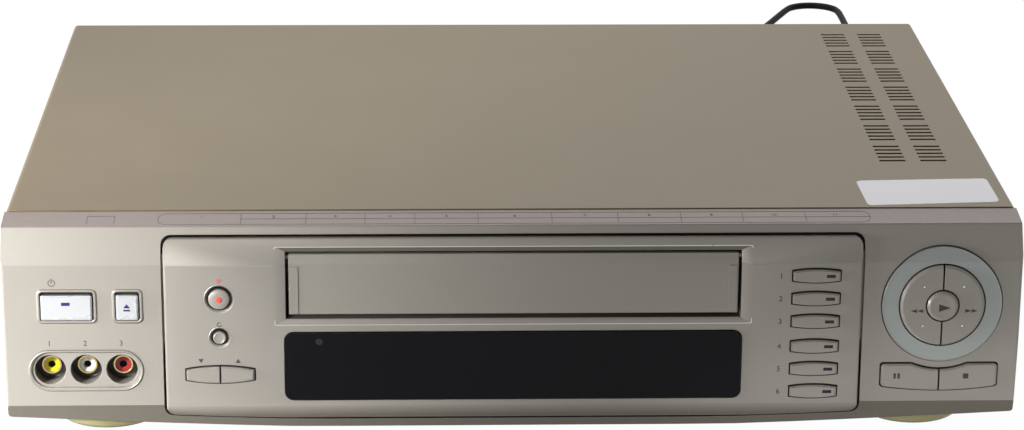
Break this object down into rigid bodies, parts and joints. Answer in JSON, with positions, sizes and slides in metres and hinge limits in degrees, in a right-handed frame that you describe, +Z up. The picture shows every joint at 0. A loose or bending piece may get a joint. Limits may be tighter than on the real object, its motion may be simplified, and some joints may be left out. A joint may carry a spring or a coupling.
{
  "type": "video cassette recorder",
  "caption": "Front-loading video cassette recorder with a hinged cassette door over a dark display window, a round transport dial, front sockets, a folded steel case and a coiled mains lead",
  "frame": {"origin": "middle of the recorder's footprint, on the table under its feet", "axes": "+X to the viewer's right along the front, +Y from the front to the back, +Z up"},
  "size_m": [0.4453, 0.7078, 0.0937],
  "materials": {
    "case_paint": "satin champagne paint",
    "bare_steel": "zinc-plated sheet",
    "front_plastic": "satin champagne paint on plastic",
    "ring_plastic": "satin blue-grey",
    "key_silver": "bright silver",
    "button_plastic": "satin champagne",
    "window_black": "tinted, glossy",
    "tube_glass": "clear",
    "board_green": "lacquered board",
    "board_brown": "lacquered board",
    "black_plastic": "fine grain",
    "socket_yellow": "smooth",
    "socket_white": "smooth",
    "socket_red": "smooth",
    "drum_alloy": "turned",
    "chrome_trim": "bright",
    "foot_gold": "metallic",
    "foot_rubber": "plain",
    "lamination": "lacquered laminations",
    "cord_pvc": "smooth"
  },
  "bodies": {
    "case": {"bottom_pan": "bare_steel", "top_cover": "case_paint", "rear_panel": "bare_steel", "cover_screws": "bare_steel", "fascia": "front_plastic", "centre_panel": "front_plastic", "display_window": "window_black", "display_board": "board_green", "display_tube": "tube_glass", "jack_plate": "front_plastic", "jack_sleeves": "bare_steel", "video_insert": "socket_yellow", "audio_left_insert": "socket_white", "audio_right_insert": "socket_red", "transport_ring": "ring_plastic", "button_bezels": "chrome_trim", "front_feet": "foot_gold", "rear_feet": "foot_rubber", "left_board": "board_green", "right_board": "board_green", "deck_plate": "bare_steel", "side_brackets": "bare_steel", "lower_drum": "drum_alloy", "tape_guides": "bare_steel", "audio_head": "bare_steel", "main_board": "board_green", "power_board": "board_brown", "transformer": "lamination", "tuner_box": "bare_steel", "rear_jack_block": "black_plastic", "rear_jack_sleeves": "chrome_trim", "cord_gland": "cord_pvc", "mains_cord": "cord_pvc", "cord_coil": "cord_pvc", "mains_plug": "cord_pvc"},
    "power_button": {"power_button": "key_silver"},
    "eject_button": {"eject_button": "key_silver"},
    "record_button": {"record_button": "button_plastic"},
    "reset_button": {"reset_button": "button_plastic"},
    "channel_down_button": {"channel_down_button": "button_plastic"},
    "channel_up_button": {"channel_up_button": "button_plastic"},
    "output_button_1": {"output_button_1": "button_plastic"},
    "output_button_2": {"output_button_2": "button_plastic"},
    "output_button_3": {"output_button_3": "button_plastic"},
    "output_button_4": {"output_button_4": "button_plastic"},
    "output_button_5": {"output_button_5": "button_plastic"},
    "output_button_6": {"output_button_6": "button_plastic"},
    "rewind_button": {"rewind_button": "button_plastic"},
    "forward_button": {"forward_button": "button_plastic"},
    "play_button": {"play_button": "button_plastic"},
    "pause_button": {"pause_button": "button_plastic"},
    "stop_button": {"stop_button": "button_plastic"},
    "cassette_door": {"cassette_door": "front_plastic"},
    "lift_slider": {"lift_slider": "bare_steel"},
    "cassette_basket": {"cassette_basket": "bare_steel"},
    "upper_drum": {"upper_drum": "drum_alloy"},
    "capstan": {"capstan": "drum_alloy"},
    "supply_reel": {"supply_reel": "black_plastic"},
    "take_up_reel": {"take_up_reel": "black_plastic"}
  },
  "joints": [
    {"name": "power_button_press", "type": "slide", "parent": "case", "child": "power_button", "axis": [0, 1, 0], "range_m": [0, 0.001], "stiffness_N_per_m": 400, "springref_m": -0.0005},
    {"name": "eject_button_press", "type": "slide", "parent": "case", "child": "eject_button", "axis": [0, 1, 0], "range_m": [0, 0.001], "stiffness_N_per_m": 350, "springref_m": -0.0005},
    {"name": "record_button_press", "type": "slide", "parent": "case", "child": "record_button", "axis": [0, 1, 0], "range_m": [0, 0.001], "stiffness_N_per_m": 350, "springref_m": -0.0005},
    {"name": "reset_button_press", "type": "slide", "parent": "case", "child": "reset_button", "axis": [0, 1, 0], "range_m": [0, 0.001], "stiffness_N_per_m": 350, "springref_m": -0.0005},
    {"name": "channel_down_button_press", "type": "slide", "parent": "case", "child": "channel_down_button", "axis": [0, 1, 0], "range_m": [0, 0.001], "stiffness_N_per_m": 350, "springref_m": -0.0005},
    {"name": "channel_up_button_press", "type": "slide", "parent": "case", "child": "channel_up_button", "axis": [0, 1, 0], "range_m": [0, 0.001], "stiffness_N_per_m": 350, "springref_m": -0.0005},
    {"name": "output_button_1_press", "type": "slide", "parent": "case", "child": "output_button_1", "axis": [0, 1, 0], "range_m": [0, 0.001], "stiffness_N_per_m": 350, "springref_m": -0.0005},
    {"name": "output_button_2_press", "type": "slide", "parent": "case", "child": "output_button_2", "axis": [0, 1, 0], "range_m": [0, 0.001], "stiffness_N_per_m": 350, "springref_m": -0.0005},
    {"name": "output_button_3_press", "type": "slide", "parent": "case", "child": "output_button_3", "axis": [0, 1, 0], "range_m": [0, 0.001], "stiffness_N_per_m": 350, "springref_m": -0.0005},
    {"name": "output_button_4_press", "type": "slide", "parent": "case", "child": "output_button_4", "axis": [0, 1, 0], "range_m": [0, 0.001], "stiffness_N_per_m": 350, "springref_m": -0.0005},
    {"name": "output_button_5_press", "type": "slide", "parent": "case", "child": "output_button_5", "axis": [0, 1, 0], "range_m": [0, 0.001], "stiffness_N_per_m": 350, "springref_m": -0.0005},
    {"name": "output_button_6_press", "type": "slide", "parent": "case", "child": "output_button_6", "axis": [0, 1, 0], "range_m": [0, 0.001], "stiffness_N_per_m": 350, "springref_m": -0.0005},
    {"name": "rewind_button_press", "type": "slide", "parent": "case", "child": "rewind_button", "axis": [0, 1, 0], "range_m": [0, 0.001], "stiffness_N_per_m": 400, "springref_m": -0.0005},
    {"name": "forward_button_press", "type": "slide", "parent": "case", "child": "forward_button", "axis": [0, 1, 0], "range_m": [0, 0.001], "stiffness_N_per_m": 400, "springref_m": -0.0005},
    {"name": "play_button_press", "type": "slide", "parent": "case", "child": "play_button", "axis": [0, 1, 0], "range_m": [0, 0.001], "stiffness_N_per_m": 350, "springref_m": -0.0005},
    {"name": "pause_button_press", "type": "slide", "parent": "case", "child": "pause_button", "axis": [0, 1, 0], "range_m": [0, 0.001], "stiffness_N_per_m": 350, "springref_m": -0.0005},
    {"name": "stop_button_press", "type": "slide", "parent": "case", "child": "stop_button", "axis": [0, 1, 0], "range_m": [0, 0.001], "stiffness_N_per_m": 350, "springref_m": -0.0005},
    {"name": "door_hinge", "type": "hinge", "parent": "case", "child": "cassette_door", "pos_m": [0, -0.1574, 0.0782], "axis": [1, 0, 0], "range_deg": [0, 80], "stiffness_Nm_per_rad": 0.02, "springref_deg": -20.05},
    {"name": "lift_draw_in", "type": "slide", "parent": "case", "child": "lift_slider", "axis": [0, 1, 0], "range_m": [0, 0.07]},
    {"name": "basket_drop", "type": "slide", "parent": "lift_slider", "child": "cassette_basket", "axis": [0, 0, -1], "range_m": [0, 0.02]},
    {"name": "drum_spin", "type": "hinge", "parent": "case", "child": "upper_drum", "pos_m": [0, 0.0851, 0.0305], "axis": [-0.1045, 0, 0.9945], "continuous": true},
    {"name": "capstan_spin", "type": "hinge", "parent": "case", "child": "capstan", "pos_m": [0.06, 0.0451, 0.02], "axis": [0, 0, 1], "continuous": true},
    {"name": "supply_reel_spin", "type": "hinge", "parent": "case", "child": "supply_reel", "pos_m": [-0.0465, -0.0139, 0.0259], "axis": [0, 0, 1], "continuous": true},
    {"name": "take_up_reel_spin", "type": "hinge", "parent": "case", "child": "take_up_reel", "pos_m": [0.0465, -0.0139, 0.0259], "axis": [0, 0, 1], "continuous": true}
  ]
}
